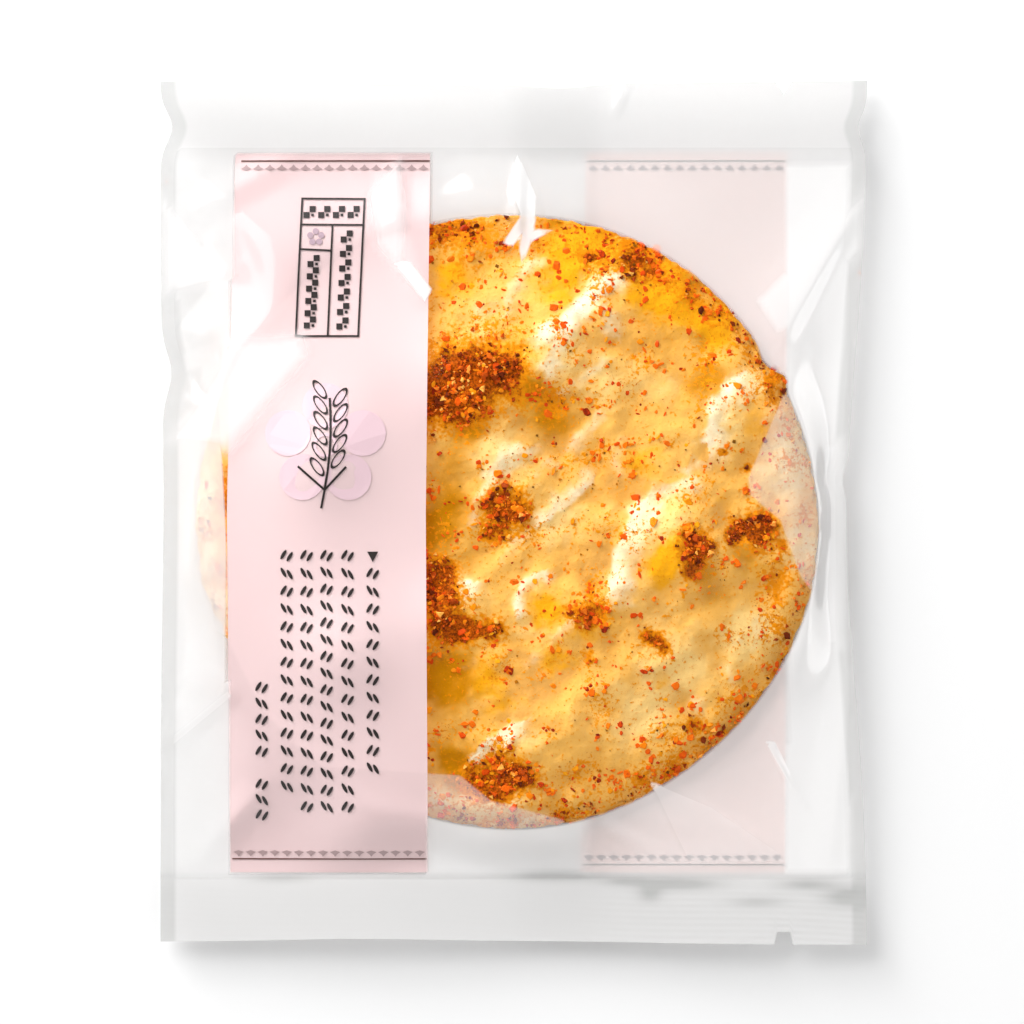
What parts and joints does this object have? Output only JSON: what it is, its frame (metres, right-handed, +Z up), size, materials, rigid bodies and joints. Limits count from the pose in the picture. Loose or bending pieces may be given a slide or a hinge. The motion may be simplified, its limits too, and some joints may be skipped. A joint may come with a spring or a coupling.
{
  "type": "packed rice cracker",
  "caption": "Large round hand-baked rice cracker with red spice flakes, lying flat in a clear sealed pillow pack with pale pink printed bands, flat end seals and a folded back seam.",
  "frame": {"origin": "on the surface that the pack lies on, under the middle of its box", "axes": "+Z up out of the printed front, +Y along the pack towards the end with the smooth seal, +X to the pack's right as its front is seen"},
  "size_m": [0.1349, 0.165, 0.0123],
  "materials": {
    "pack_film": "clear glossy packing film over a golden glazed cracker, with pale pink printed bands"
  },
  "bodies": {
    "root": {"sealed_pack": "pack_film"}
  },
  "joints": []
}
